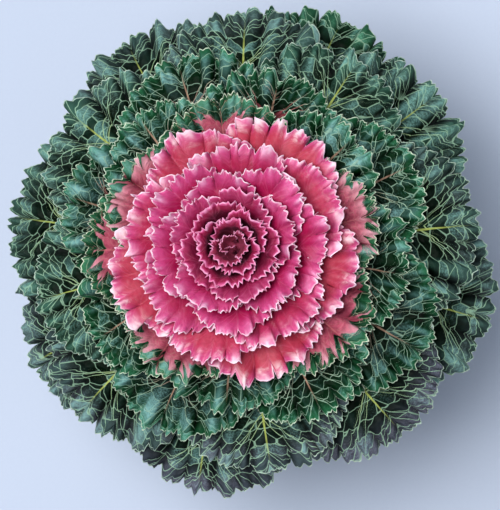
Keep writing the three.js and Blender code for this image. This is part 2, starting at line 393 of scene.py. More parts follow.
class LeafPlan:
    """One leaf's sizes, and its midrib's curve in the plane through the axis."""

    STEPS = 400  # of the midrib's curve
    KNEE = 0.42  # how far along its chord a leaf keeps the way in which it leaves the stem
    WRIST = 0.4  # how long before its tip it takes on the tip's way
    FLATTEST = 0.22  # no cone that a leaf wraps is steeper than this share of level
    FLUSHED = math.radians(35)  # how far clockwise from +X the rose colour runs furthest out

    def __init__(self, growth: Growth, k: int) -> None:
        """Works out leaf k, counted from the outermost.

        Args:
            growth: The rule that places the leaves.
            k: The leaf's number.
        """
        share = k / (growth.leaves - 1)
        self.k = k
        self.in_heart = k >= growth.separate
        self.ring = lerp(*growth.ring, share)
        self.kind = next(kind for kind in Kind if self.ring >= kind.value)
        self.node = growth.first_node + growth.node_step * k
        if self.in_heart:
            self.node = growth.heart_node + growth.heart_step * (k - growth.separate)
        self.foot_thick = lerp(*growth.foot_thick, share)
        self.foot_half = lerp(*growth.foot_half, share)
        turn = growth.first + k * growth.golden + growth.jitter * (chance(k, 1) - 0.5)
        self.azimuth = math.radians(turn)
        flat = float(smoothstep(self.ring, *growth.flat_rings))
        self.broad = lerp(*growth.broad, flat)
        self.flush = self._flush(chance(k, 2))
        self.age = self._age(chance(k, 3))
        self._trace_midrib(growth, math.radians(lerp(*growth.rise, share)))
        self.stalk = self.length * lerp(*growth.stalk, flat)
        self.blade = self.length - self.stalk

    def _age(self, luck: float) -> float:
        """How much painted sheen the leaf's margins get, from 0 to 1: most on the head's side towards -Y."""
        return float(np.clip(0.68 - 0.45 * math.sin(self.azimuth) + 0.8 * (luck - 0.5), 0, 1))

    def _flush(self, luck: float) -> float:
        """How far out in the blade the rose colour runs, from 0 to 1."""
        if self.kind is not Kind.BLUSHED:
            return lerp(0.3, 0.76, luck)
        inward = (Kind.GREEN.value - self.ring) / (Kind.GREEN.value - Kind.BLUSHED.value)
        return 0.9 + 0.12 * inward + 0.02 * math.cos(self.azimuth + self.FLUSHED) + 0.08 * (luck - 0.5)

    def _trace_midrib(self, growth: Growth, rise: float) -> None:
        """Lays the midrib's curve and measures along it.

        Args:
            growth: The rule that places the leaves.
            rise: The angle at which the leaf leaves the stem.
        """
        tilt = math.radians(105 * math.exp(-self.ring / 45) - 0.2 * self.ring)
        swell = growth.bulge * math.exp(-(((self.k - growth.bulge_middle) / growth.bulge_width) ** 2))
        base = np.array([growth.seat(self.k, self.node), self.node])
        tip = np.array([self.ring + swell, growth.dome(self.ring)])
        chord = float(np.linalg.norm(tip - base))
        knee = base + chord * self.KNEE * np.array([math.cos(rise), math.sin(rise)])
        wrist = tip - chord * self.WRIST * np.array([math.cos(tilt), math.sin(tilt)])
        t = np.linspace(0, 1, self.STEPS + 1)[:, None]
        u = 1 - t
        self.line = u**3 * base + 3 * u * u * t * knee + 3 * u * t * t * wrist + t**3 * tip
        way = 3 * (u * u * (knee - base) + 2 * u * t * (wrist - knee) + t * t * (tip - wrist))
        self.way = way / np.linalg.norm(way, axis=1, keepdims=True)
        steps = np.linalg.norm(np.diff(self.line, axis=0), axis=1)
        self.arc = np.concatenate([[0.0], np.cumsum(steps)])
        self.length = float(self.arc[-1])

    def _midrib_at(self, along: Array) -> tuple[Array, Array, Array, Array]:
        """Point and direction on the midrib, straight on past its ends."""
        held = np.clip(along, 0, self.length)
        radius, height = (np.interp(held, self.arc, self.line[:, i]) for i in (0, 1))
        out, up = (np.interp(held, self.arc, self.way[:, i]) for i in (0, 1))
        return radius + out * (along - held), height + up * (along - held), out, up

    def wrap(self, x: Array, y: Array, lift: Array) -> Array:
        """Bends the flat leaf to its place, as paper wraps a cone round the axis.

        Args:
            x: Distance across the flat leaf from its midrib.
            y: Distance along it from its foot.
            lift: Distance off the flat leaf's face.

        Returns:
            Rows of x, y, z in the frame.
        """
        radius, _, out, _ = self._midrib_at(y)
        level = np.maximum(out, self.FLATTEST)
        cone = radius / level
        radius, height, out, up = self._midrib_at(y + np.hypot(cone, x) - cone)
        azimuth = self.azimuth + np.arctan2(x, cone) / level
        reach = np.maximum(radius - up * lift, 0.4 + 0.25 * radius)
        return np.stack([reach * np.cos(azimuth), reach * np.sin(azimuth), height + out * lift], -1)


# ---------------------------------------------------------------- the shape of a leaf


@dataclass(frozen=True)
class Ruffle:
    """How one kind of leaf is waved and cut. Heights, depths and lengths are in millimetres."""

    start: float  # how far out in the blade the folds begin, from 0 to 1
    rise: float  # how suddenly they rise, 1 for evenly
    folds: int  # folds to a leaf's margin
    fold: float  # height of the folds
    crease: float  # 0 for soft folds, 1 for folds with a sharp valley between them
    overhang: float  # how far a fold leans over along the margin
    meander: float  # how far a fold's crest stands out past its valley
    roam: float  # how far the margin wanders out and in, slowly
    veins: int  # side veins to a leaf
    lobes: int  # lobes to a leaf's margin
    lobe: float  # depth of a lobe as a share of the blade
    point: float  # 0 for round lobes, 1 for points with hollows between them
    cup: float  # height of each lobe over the notches beside it
    split: int  # smaller lobes to each lobe
    notch: float  # depth of the smaller lobes
    frill: float  # height of the small waves near the margin
    quick: float  # small waves to each lobe
    frilled: float  # how far out in the blade they begin, from 0 to 1
    tooth: float  # length of the teeth
    sway: float  # height of the slow waves of the whole blade
    pucker: float  # how high the blade stands between two side veins


RUFFLES = {
    Kind.OUTER: Ruffle(
        start=0.3, rise=1.4, folds=11, fold=3.4, crease=0.4, overhang=1.3, meander=1.6, roam=1.2,
        veins=12, lobes=20, lobe=0.022, point=0.0, cup=1.3, split=2, notch=2.0,
        frill=1.3, quick=2.1, frilled=0.72, tooth=1.6, sway=3.2, pucker=0.3),
    Kind.GREEN: Ruffle(
        start=0.42, rise=1.4, folds=10, fold=4.2, crease=0.35, overhang=1.7, meander=2.2, roam=1.6,
        veins=10, lobes=16, lobe=0.03, point=0.1, cup=1.4, split=2, notch=2.1,
        frill=1.5, quick=2.2, frilled=0.7, tooth=2.2, sway=3.0, pucker=0.3),
    Kind.BLUSHED: Ruffle(
        start=0.48, rise=1.4, folds=10, fold=4.2, crease=0.35, overhang=1.8, meander=2.2, roam=1.6,
        veins=9, lobes=14, lobe=0.032, point=0.1, cup=1.3, split=2, notch=2.1,
        frill=1.5, quick=2.2, frilled=0.7, tooth=2.2, sway=2.4, pucker=0.3),
    Kind.ROSE: Ruffle(
        start=0.6, rise=1.8, folds=9, fold=4.2, crease=0.45, overhang=2.9, meander=2.9, roam=2.6,
        veins=12, lobes=14, lobe=0.05, point=0.0, cup=2.1, split=2, notch=1.5,
        frill=1.4, quick=2.6, frilled=0.86, tooth=1.8, sway=4.2, pucker=0.05),
}


@dataclass
class Spot:
    """Places on a blade, and where they are in its folds."""

    turn: Array  # from -1 to 1 across the blade
    out: Array  # from 0 at the blade's foot to 1 at its margin
    flank: Array  # 1 in the middle of the margin and 0 at its two ends
    lobe: Array  # the phase of the lobes
    fold: Array  # the phase of the folds
    tall: Array  # the height of the folds here, about 1


@dataclass
class FlatLeaf:
    """A leaf's points before it is bent to its place, with what its material reads."""

    x: Array
    y: Array
    lift: Array
    vein: Array
    edge: Array
    out: Array
    crest: Array
    tip: Array
    thick: Array
    plain: Array  # rows of the place across, along and of the leaf itself, before any ruffle


class LeafShape:
    """Turns places on the unit blank into the points of one ruffled leaf."""

    FAN = math.radians(88)  # half the fan in which the blade opens
    SHOULDER = math.radians(80)  # the turn at which the blade is half as long as along its midrib
    STALK_SHARE = 0.125  # the share of the blank that becomes the leaf's stalk
    CROWDING = 1.6  # how much closer the blank's rows lie towards the margin
    BLADE_THICK = 0.5
    RIB_HALF = 5.0  # half the width of the thick rib
    LIP = 3.0  # how far the margins of the upright leaves turn out
    PARTS = ((62.0, 1.0), (36.0, 0.75), (0.0, 0.5))  # past each ring, the share of lobes and veins
    TEETH = ((91.0, 72), (45.0, 60), (37.9, 48), (0.0, 28))  # past each ring, the teeth of a leaf
    PITCHES = (1.0, 40.0)  # the least and the greatest distance between side veins
    STEP = 1e-3  # for slopes
    LEAF_STEP = 37.0  # from one leaf's place in the patterns to the next one's

    # What wanders across a leaf in its own way: its first draw, then the speeds of its waves.
    WIDTHS = (7, 4.0, 7.5, 12.0)
    HEIGHTS = (11, 6.0, 13.0)
    SLOPE = (13, 3.0)
    SWAY = (14, 2.2, 4.1)
    FRILLS = (17, 7.0, 13.0)
    LEAN = (19, 3.0, 7.0)
    FOLDS = (21, 5.0, 11.0)
    ROAM = (23, 4.0, 7.5)

    # The first of the draws of which each lobe, tooth and notch has its own.
    LOBE_DRAWS = 200
    TOOTH_DRAWS = 300
    NOTCH_DRAWS = 400

    def __init__(self, plan: LeafPlan) -> None:
        """Keeps the leaf's plan and picks its ruffle, which is weaker towards the heart."""
        self.plan = plan
        self.ruffle = RUFFLES[plan.kind]
        self.small = float(smoothstep(plan.ring, 4, 70))
        self.size = lerp(0.36, 1.0, self.small)
        self.upright = float(smoothstep(plan.ring, 58, 26) * smoothstep(plan.ring, 5, 15))
        self.lobes = round(self.ruffle.lobes * self._by_ring(self.PARTS))
        self.veins = round(self.ruffle.veins * self._by_ring(self.PARTS))
        self.teeth = self._by_ring(self.TEETH)

    def _by_ring(self, table: tuple[tuple[float, float], ...]) -> float:
        """The table's value for the widest of its rings that the leaf's tip is outside of."""
        return next(value for ring, value in table if self.plan.ring > ring)

    def _wander(self, turn: Array, draw: int, *speeds: float) -> Array:
        """A smooth number from about -1 to 1 that wanders across this leaf alone."""
        total = np.zeros_like(turn)
        for i, speed in enumerate(speeds):
            total += np.sin(speed * turn + 2 * math.pi * chance(self.plan.k, draw + i)) / len(speeds)
        return total

    def _each(self, number: Array, first_draw: int) -> Array:
        """A random size from 0 to 1 for each whole number."""
        table = np.array([chance(self.plan.k, first_draw + n) for n in range(100)])
        return table[np.clip(number.astype(int), 0, len(table) - 1)]

    def _out(self, v: Array) -> Array:
        """How far out in the blade a row of the blank lies, below 0 in the stalk."""
        share = (v - self.STALK_SHARE) / (1 - self.STALK_SHARE)
        stalk = (v - self.STALK_SHARE) / self.STALK_SHARE
        return np.where(share < 0, stalk, 1 - (1 - np.maximum(share, 0)) ** self.CROWDING)

    def _spread(self, turn: Array) -> Array:
        """The blade's reach at a turn."""
        return self.plan.blade / (1 + (turn * self.FAN / self.SHOULDER) ** 4)

    def _warp(self, turn: Array) -> Array:
        """The turn, stretched and squeezed so that no two lobes are as wide."""
        return turn + 0.035 * (1 - turn**2) * self._wander(turn, *self.WIDTHS)

    def vein_at(self, turn: Array, out: Array) -> Array:
        """The number of veins to the leaf's flank, from a side vein's place. Veins run at the halves."""
        vein = 0.5 * self.veins * out**0.6 * (1 - np.abs(self._warp(turn)))
        return vein + 0.12 * (1 - out) * np.sin(7 * out + ROUND * chance(self.plan.k, 10))

    def pitch_at(self, turn: Array, out: Array) -> Array:
        """The distance from one side vein to the next, in millimetres.

        Args:
            turn: Place across the blade from -1 to 1.
            out: Place along it from 0 to 1.

        Returns:
            One over the slope of the number of veins, within limits.
        """
        out = np.clip(out, 0.02, 1)

        def place(t: Array, o: Array) -> tuple[Array, Array, Array]:
            """The point across and along the flat leaf, and the number of veins there."""
            reach = self._spread(t) * o
            angle = t * self.FAN
            return self.plan.broad * reach * np.sin(angle), reach * np.cos(angle), self.vein_at(t, o)

        x0, y0, q0 = place(turn, out)
        x1, y1, q1 = place(turn + self.STEP, out)
        x2, y2, q2 = place(turn, out + self.STEP)
        area = (x1 - x0) * (y2 - y0) - (x2 - x0) * (y1 - y0)
        slope_x = ((q1 - q0) * (y2 - y0) - (q2 - q0) * (y1 - y0)) / area
        slope_y = ((x1 - x0) * (q2 - q0) - (x2 - x0) * (q1 - q0)) / area
        return np.clip(1 / np.maximum(np.hypot(slope_x, slope_y), 1e-3), *self.PITCHES)

    def _lobes(self, phase: Array) -> Array:
        """How far the margin stands out at a phase of the lobes, in millimetres."""
        ruffle = self.ruffle
        share = phase / (2 * math.pi)
        number = np.floor(share)
        off = np.abs(2 * (share - number) - 1)
        lobe = lerp(np.sqrt(np.maximum(1 - off**2.4, 0)), (1 - off) ** 1.4, ruffle.point)
        depth = ruffle.lobe * self.plan.blade * (0.3 + 1.4 * self._each(number, self.LOBE_DRAWS))
        part = share * ruffle.split
        small = np.abs(np.sin(math.pi * part)) ** 0.7
        notch = ruffle.notch * (0.6 + 0.8 * self._each(np.floor(part), self.NOTCH_DRAWS))
        return depth * (lobe - 0.5) * 2 + notch * lerp(0.1, 1, self.small) * (small - 0.7)

    def _teeth(self, turn: Array) -> Array:
        """The small teeth on the margin, in millimetres."""
        place = (turn + 1) / 2 * self.teeth
        number = np.floor(place)
        size = 0.35 + 1.1 * self._each(number, self.TOOTH_DRAWS)
        pointed = (1 - np.abs(2 * (place - number) - 1)) ** 0.9
        return lerp(0.45, 1.0, self.small) * self.ruffle.tooth * size * (pointed - 0.35)

    def _spot(self, turn: Array, out: Array) -> Spot:
        """Works out where places on the blade are in its folds."""
        lobe = math.pi * self.lobes * (1 + self._warp(turn))
        fold = lobe * self.ruffle.folds / self.ruffle.lobes - 2.37 + 1.7 * self._wander(turn, *self.FOLDS)
        uneven = 1.3 * self._wander(turn, *self.HEIGHTS) ** 2
        tall = 0.35 + uneven + 0.3 * self._wander(turn, *self.SLOPE)
        return Spot(turn, out, 1 - np.abs(turn) ** 4, lobe, fold, tall)

    def _folds(self, at: Spot) -> Array:
        """The lift of the folds, and of the lobes over the notches beside them."""
        ruffle = self.ruffle
        soft = np.sin(at.fold + 0.8)
        sharp = np.abs(np.sin(0.5 * at.fold + 0.4 + 0.25 * math.pi)) ** 0.7
        wave = lerp(soft, 0.45 * soft + 1.9 * sharp - 1.35, ruffle.crease)
        high = self.size * beyond(at.out, ruffle.start, ruffle.rise) * at.flank
        return high * (ruffle.fold * at.tall * wave - ruffle.cup * np.cos(at.lobe))

    def _sheet(self, at: Spot, vein: Array) -> Array:
        """The lift of the whole sheet: its slow sway, an upright leaf's lip, and puckers between veins."""
        sway = self.ruffle.sway * self.small * at.out**1.5 * self._wander(at.turn, *self.SWAY)
        lip = self.LIP * self.upright * beyond(at.out, 0.76, 2)
        pucker = self.ruffle.pucker * np.cos(4 * math.pi * vein) * smoothstep(at.out, 0.1, 0.5)
        return sway - (lip + pucker) * at.flank

    def _drift(self, at: Spot) -> tuple[Array, Array]:
        """How far the folds lean along the margin, and how far the margin stands out."""
        ruffle = self.ruffle
        rim = self.size * at.tall * beyond(at.out, 0.55, 1.8) * at.flank
        twist = self._wander(at.turn, *self.LEAN)
        lean = 0.55 * np.sin(at.fold) + 0.7 * np.sin(2 * at.fold + 0.9 + twist)
        meander = ruffle.meander * rim * np.sin(at.fold + 0.4 + 0.8 * chance(self.plan.k, 16))
        roam = ruffle.roam * self.small * self._wander(at.turn, *self.ROAM)
        stand = (self._lobes(at.lobe) + meander + roam) * beyond(at.out, 0.5, 1.5) * at.flank
        return ruffle.overhang * rim * lean, stand

    def _fringe(self, at: Spot) -> tuple[Array, Array, Array, Array]:
        """What the frills and the teeth add to the lift, the crests, the reach and the tips."""
        frill = self.ruffle.frill * beyond(at.out, self.ruffle.frilled, 1.5) * at.flank
        quick = self.ruffle.quick * at.lobe + 3 * self._wander(at.turn, *self.FRILLS)
        teeth = self._teeth(at.turn) * beyond(at.out, 0.9, 1.2)
        lift = (self.size + 0.5 * self.upright) * frill * np.sin(quick)
        return (
            lift + lerp(0.35, -0.9, self.upright) * teeth,
            0.3 * frill / self.ruffle.frill * np.sin(quick),
            0.6 * self.size * frill * np.cos(quick) + teeth,
            teeth / 2.3,
        )

    def flat(self, u: Array, v: Array, fine: bool = True) -> FlatLeaf:
        """Shapes the flat leaf.

        Args:
            u: Place across the blank from 0 to 1.
            v: Place along it from 0, the foot, to 1, the margin.
            fine: Whether to add the teeth and the frills.

        Returns:
            The leaf before it is bent.
        """
        plan = self.plan
        turn = 2 * u - 1
        raw = self._out(v)
        out = np.maximum(raw, 0)
        stalk = np.maximum(-raw, 0)
        spread = self._spread(turn)
        vein = self.vein_at(turn, out)
        at = self._spot(turn, out)
        folds = self._folds(at)
        shift, stand = self._drift(at)
        lift = folds + self._sheet(at, vein)
        crest = folds / (self.ruffle.fold + self.ruffle.cup)
        reach = spread * out + stand
        tip = np.zeros_like(out)
        if fine:
            more = self._fringe(at)
            lift, crest, reach, tip = (a + b for a, b in zip((lift, crest, reach, tip), more))

        across, along = np.sin(turn * self.FAN), np.cos(turn * self.FAN)
        narrow = lerp(1.0, 0.7, 1 - stalk)
        x = turn * plan.foot_half * narrow + plan.broad * reach * across + shift * along
        y = plan.stalk * (1 - stalk) + reach * along - shift * across
        rib = (1 - out) ** 1.3 * np.exp(-((x / self.RIB_HALF) ** 2))
        strap = plan.foot_thick * (1 - 0.7 * turn**4)
        thick = np.where(raw < 0, strap, self.BLADE_THICK + (plan.foot_thick - 0.6) * rib)
        middle = self.BLADE_THICK / 2 + 0.5 * np.where(raw < 0, thick - self.BLADE_THICK, 0)
        place = (plan.broad * spread * out * across, spread * out * along, self.LEAF_STEP * plan.k + 0 * out)
        return FlatLeaf(
            x=x, y=y, lift=lift + middle, vein=vein, edge=(1 - out) * spread, out=out, crest=crest, tip=tip,
            thick=thick, plain=np.stack(place, -1))


class Nest:
    """Lays each leaf on those under it, so that no leaf cuts through another."""

    COLUMNS = 128
    ROWS = 22
    LOOK = 14.0  # how far off its face a leaf looks for those under it
    GAP = 1.5
    REMEMBER = 16  # how many leaves back can lie under a leaf
    FOOT = (0.02, 0.2)  # how far out in the blade a leaf begins to be lifted, and is lifted in full

    def __init__(self) -> None:
        """Starts with no leaf laid."""
        line_u = np.linspace(0, 1, self.COLUMNS + 1)
        line_v = np.linspace(0, 1, self.ROWS + 1)
        self.u, self.v = (g.ravel() for g in np.meshgrid(line_u, line_v))
        wide = self.COLUMNS + 1
        corner = [r * wide + c for r in range(self.ROWS) for c in range(self.COLUMNS)]
        self.faces = [(i, i + 1, i + wide + 1, i + wide) for i in corner]
        self.laid: list[Array] = []

    @staticmethod
    def _beside(grid: Array, axis: int) -> list[Array]:
        """The grid moved one step back, left in place and moved one step on."""
        padded = np.pad(grid, [(1, 1) if a == axis else (0, 0) for a in (0, 1)], mode="edge")
        return [padded.take(range(i, i + grid.shape[axis]), axis) for i in range(3)]

    def _soften(self, push: Array) -> Array:
        """Spreads the push to its neighbours and smooths it, without losing its peaks."""
        grid = push.reshape(self.ROWS + 1, self.COLUMNS + 1)
        for axis in (0, 1):
            grid = np.maximum.reduce(self._beside(grid, axis))
        for axis in (0, 1, 0, 1):
            before, here, after = self._beside(grid, axis)
            grid = (before + 2 * here + after) / 4
        return grid

    def lay(self, shape: LeafShape) -> Array:
        """Finds how far the leaf has to be lifted at each place.

        Args:
            shape: The leaf.

        Returns:
            A grid of lifts, in millimetres, with a row for each step along the leaf.
        """
        flat = shape.flat(self.u, self.v, fine=False)
        points = shape.plan.wrap(flat.x, flat.y, flat.lift)
        ways = shape.plan.wrap(flat.x, flat.y, flat.lift + 1.0) - points
        push = np.zeros(len(points))
        if self.laid:
            recent = self.laid[-self.REMEMBER :]
            faces = [tuple(c + i * len(points) for c in f) for i in range(len(recent)) for f in self.faces]
            tree = BVHTree.FromPolygons(np.concatenate(recent).tolist(), faces)
            for i in np.flatnonzero(flat.out > self.FOOT[0]):
                start = Vector(points[i] + ways[i] * self.LOOK)
                hit = tree.ray_cast(start, Vector(-ways[i]), self.LOOK + self.GAP)
                if hit[3] is not None:
                    push[i] = self.LOOK - hit[3] + self.GAP
        grid = self._soften(push * smoothstep(flat.out, *self.FOOT))
        self.laid.append(points + ways * grid.ravel()[:, None])
        return grid

    def lift_at(self, grid: Array, u: Array, v: Array) -> Array:
        """Reads a grid of lifts at any places on the blank."""
        column = np.clip(u * self.COLUMNS, 0, self.COLUMNS - 1e-6)
        row = np.clip(v * self.ROWS, 0, self.ROWS - 1e-6)
        c, r = column.astype(int), row.astype(int)
        s, t = column - c, row - r
        low = grid[r, c] * (1 - s) + grid[r, c + 1] * s
        high = grid[r + 1, c] * (1 - s) + grid[r + 1, c + 1] * s
        return low * (1 - t) + high * t


@dataclass
class LeafBlank:
    """A flat sheet that leaves are shaped from. Its columns double, again and again, towards the margin."""

    columns: int
    rows: int
    doubled: tuple[float, ...] = (0.35, 0.57, 0.8)  # how far along the sheet they double

    def build(self) -> bpy.types.Object:
        """Models the blank on the unit square.

        Returns:
            The blank, which is never shown.
        """
        make_active(None)
        middle = (0.5, 0.5, 0.0)
        bpy.ops.mesh.primitive_grid_add(
            x_subdivisions=self.columns, y_subdivisions=self.rows, size=1.0, location=middle)
        blank = bpy.context.active_object
        bpy.ops.object.transform_apply(location=True, rotation=False, scale=False)
        bpy.ops.object.mode_set(mode="EDIT")
        bpy.ops.mesh.select_mode(type="EDGE")
        for start in self.doubled:
            bpy.ops.mesh.select_all(action="DESELECT")
            mesh = bmesh.from_edit_mesh(blank.data)
            for edge in mesh.edges:
                low, high = sorted(corner.co.y for corner in edge.verts)
                edge.select_set(low > start and high - low < 1e-4)
            bmesh.update_edit_mesh(blank.data)
            bpy.ops.mesh.subdivide(number_cuts=1)
        bpy.ops.mesh.select_mode(type="VERT")
        bpy.ops.object.mode_set(mode="OBJECT")
        blank.name = "leaf_blank"
        return blank


class LeafCutter:
    """Shapes leaves from copies of the blank."""

    def __init__(self, blank: bpy.types.Object, nest: Nest) -> None:
        """Keeps the blank and the nest that the leaves are laid in."""
        self.blank = blank
        self.nest = nest
        self.u, self.v, _ = read_points(blank.data).T

    def cut(self, plan: LeafPlan, name: str) -> bpy.types.Object:
        """Shapes one leaf.

        Args:
            plan: The leaf's plan.
            name: The name of its object.

        Returns:
            The leaf, a closed sheet with its midrib.
        """
        shape = LeafShape(plan)
        grid = self.nest.lay(shape)
        flat = shape.flat(self.u, self.v)
        lift = flat.lift + self.nest.lift_at(grid, self.u, self.v)
        leaf = add_object(name, self.blank.data.copy())
        leaf.data.name = name
        write_points(leaf.data, plan.wrap(flat.x, flat.y, lift))
        pitch = shape.pitch_at(2 * self.u - 1, flat.out)
        by_place = {"vein": flat.vein, "pitch": pitch, "edge": flat.edge, "out": flat.out,
                    "crest": flat.crest, "tip": flat.tip, "across": flat.x}
        by_leaf = {"ring": plan.ring, "flush": plan.flush, "age": plan.age, "leaf": float(plan.k)}
        for label, values in by_place.items():
            write_numbers(leaf.data, label, values)
        for label, value in by_leaf.items():
            write_numbers(leaf.data, label, np.full(len(self.u), value))
        write_vectors(leaf.data, "flat", flat.plain)
        self._thicken(leaf, flat.thick)
        return leaf

    @staticmethod
    def _thicken(leaf: bpy.types.Object, thick: Array) -> None:
        """Gives the sheet its thickness, with the rib on its underside."""
        deepest = float(thick.max())
        group = leaf.vertex_groups.new(name="thickness")
        for i, share in enumerate(thick / deepest):
            group.add([i], float(share), "REPLACE")
        apply_modifier(
            leaf, "SOLIDIFY", thickness=deepest * MM, offset=-1.0, vertex_group="thickness",
            thickness_vertex_group=0.0, use_even_offset=False, material_offset=1)
        leaf.vertex_groups.clear()
        shade_smooth(leaf)


# ---------------------------------------------------------------- finishes


@dataclass(frozen=True)
class LeafFinish:
    """The look of one kind of leaf. Widths are in millimetres."""

    name: str
    painted_shade: Colour  # painted shade, low down in the folds and where the next leaf covers the blade
    lamina: Colour
    bloom_sheen: Colour  # the glaucous coat's sheen, a painted highlight on the crests
    margin: Colour  # the band along the margin
    vein: Colour
    midrib: Colour
    edge: Colour  # the thin line round the leaf
    flushed: Colour | None = None  # the colour that runs out along the veins
    flushed_rim: Colour = linear(238, 182, 194)  # the same where it comes to the margin, paler on the crests as painted highlight
    veins_flushed: Colour = linear(176, 112, 108)  # the colour of the veins just past it
    warm: Colour | None = None  # the colour that the outer leaves of the kind turn to
    aged: Colour | None = None  # the purple-grey painted sheen over the outermost leaves' margins, most towards -Y
    back: Colour = linear(98, 136, 120)
    # how strongly the painted sheen covers the crests
    waxy: float = 0.5
    shade: float = 0.0  # painted shadow: how much darker the blade is where the next leaf covers it
    band: float = 9.0
    even: float = 0.45  # how much of the band stays where the margin dips; the rest is painted highlight on the crests
    edge_width: float = 0.6
    vein_width: float = 0.75
    vein_strength: float = 0.85
    net_strength: float = 0.55
    facets: float = 0.0  # painted light and shade: how much lighter or darker one mesh of the net is than the next
    vary: float = 0.42  # how much darker one leaf may be than the next
    pillow: float = 0.7  # height of the blade between its veins
    roughness: float = 0.5
    gloss: float = 0.25


FINISHES = {
    Kind.OUTER: LeafFinish(
        "outer_leaf", painted_shade=linear(1, 13, 3), lamina=linear(8, 55, 25), bloom_sheen=linear(142, 196, 188),
        margin=linear(60, 118, 88), vein=linear(160, 196, 166), midrib=linear(176, 188, 98),
        edge=linear(194, 214, 196), aged=linear(112, 108, 128), waxy=0.78, shade=0.78, band=13.0, even=0.25,
        vein_width=0.52, net_strength=0.62, facets=0.8, pillow=1.8, gloss=0.07),
    Kind.GREEN: LeafFinish(
        "green_leaf", painted_shade=linear(1, 13, 3), lamina=linear(9, 56, 26), bloom_sheen=linear(146, 200, 197),
        margin=linear(50, 124, 82), vein=linear(162, 196, 170), midrib=linear(176, 140, 118),
        edge=linear(208, 224, 198), flushed=linear(160, 76, 84), waxy=0.8, shade=0.8, vein_width=0.42,
        net_strength=0.52, facets=0.75, pillow=1.7, gloss=0.07),
    Kind.BLUSHED: LeafFinish(
        "blushed_leaf", painted_shade=linear(1, 14, 4), lamina=linear(10, 58, 30), bloom_sheen=linear(140, 194, 186),
        margin=linear(58, 128, 86), vein=linear(176, 190, 156), midrib=linear(190, 102, 108),
        edge=linear(214, 222, 196), flushed=linear(196, 90, 113), waxy=0.75, shade=0.8, vein_width=0.42,
        net_strength=0.45, facets=0.65, pillow=1.4, gloss=0.07),
    Kind.ROSE: LeafFinish(
        "rose_leaf", painted_shade=linear(122, 3, 42), lamina=linear(166, 9, 74), bloom_sheen=linear(212, 70, 138),
        margin=linear(220, 86, 150), vein=linear(228, 120, 160), midrib=linear(222, 90, 140),
        edge=linear(253, 218, 234), warm=linear(188, 62, 80), back=linear(238, 170, 200), band=13.0,
        even=0.6, edge_width=0.7, vein_strength=0.12, net_strength=0.03, vary=0.2, pillow=0.3),
}


